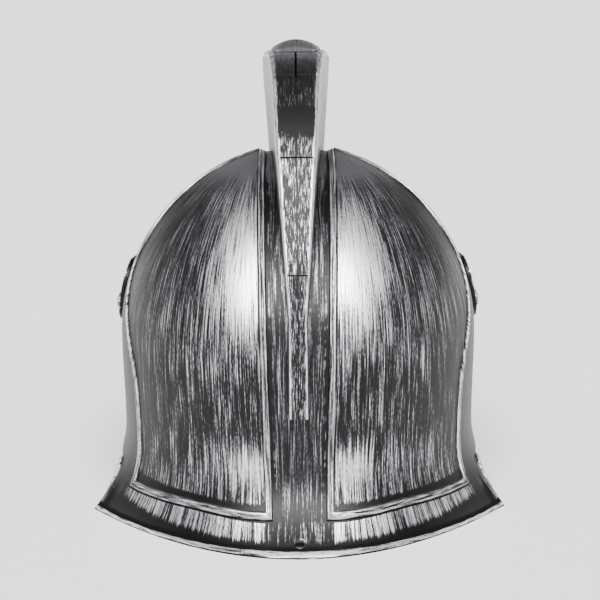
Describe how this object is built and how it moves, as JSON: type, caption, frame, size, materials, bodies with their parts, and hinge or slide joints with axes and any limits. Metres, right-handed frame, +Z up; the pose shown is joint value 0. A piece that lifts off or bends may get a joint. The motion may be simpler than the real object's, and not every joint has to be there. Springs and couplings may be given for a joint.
{
  "type": "gladiator helmet",
  "caption": "Plastic gladiator helmet brushed with silver: panelled bowl, flared neck guard, tall wedge crest and a face plate with a T-shaped opening.",
  "frame": {"origin": "middle of the helmet's length and width, on the surface that it rests on", "axes": "+Z up, the face looks along -Y, the wearer's left is +X"},
  "size_m": [0.2356, 0.2792, 0.2631],
  "materials": {
    "bowl": "black moulded plastic dry-brushed with silver along the meridians",
    "face_plate": "black moulded plastic dry-brushed with silver, bright on its raised edges",
    "crest": "black moulded plastic under patchy silver, smooth on the flanks",
    "cap": "black moulded plastic with a thin even grey silver coat",
    "rosette": "moulded plastic with worn silver on its petals"
  },
  "bodies": {
    "root": {"skull_shell": "bowl", "visor": "face_plate", "crest_left": "crest", "crest_right": "crest", "crest_cap": "cap", "temple_rosette_left": "rosette", "temple_rosette_right": "rosette"}
  },
  "joints": []
}
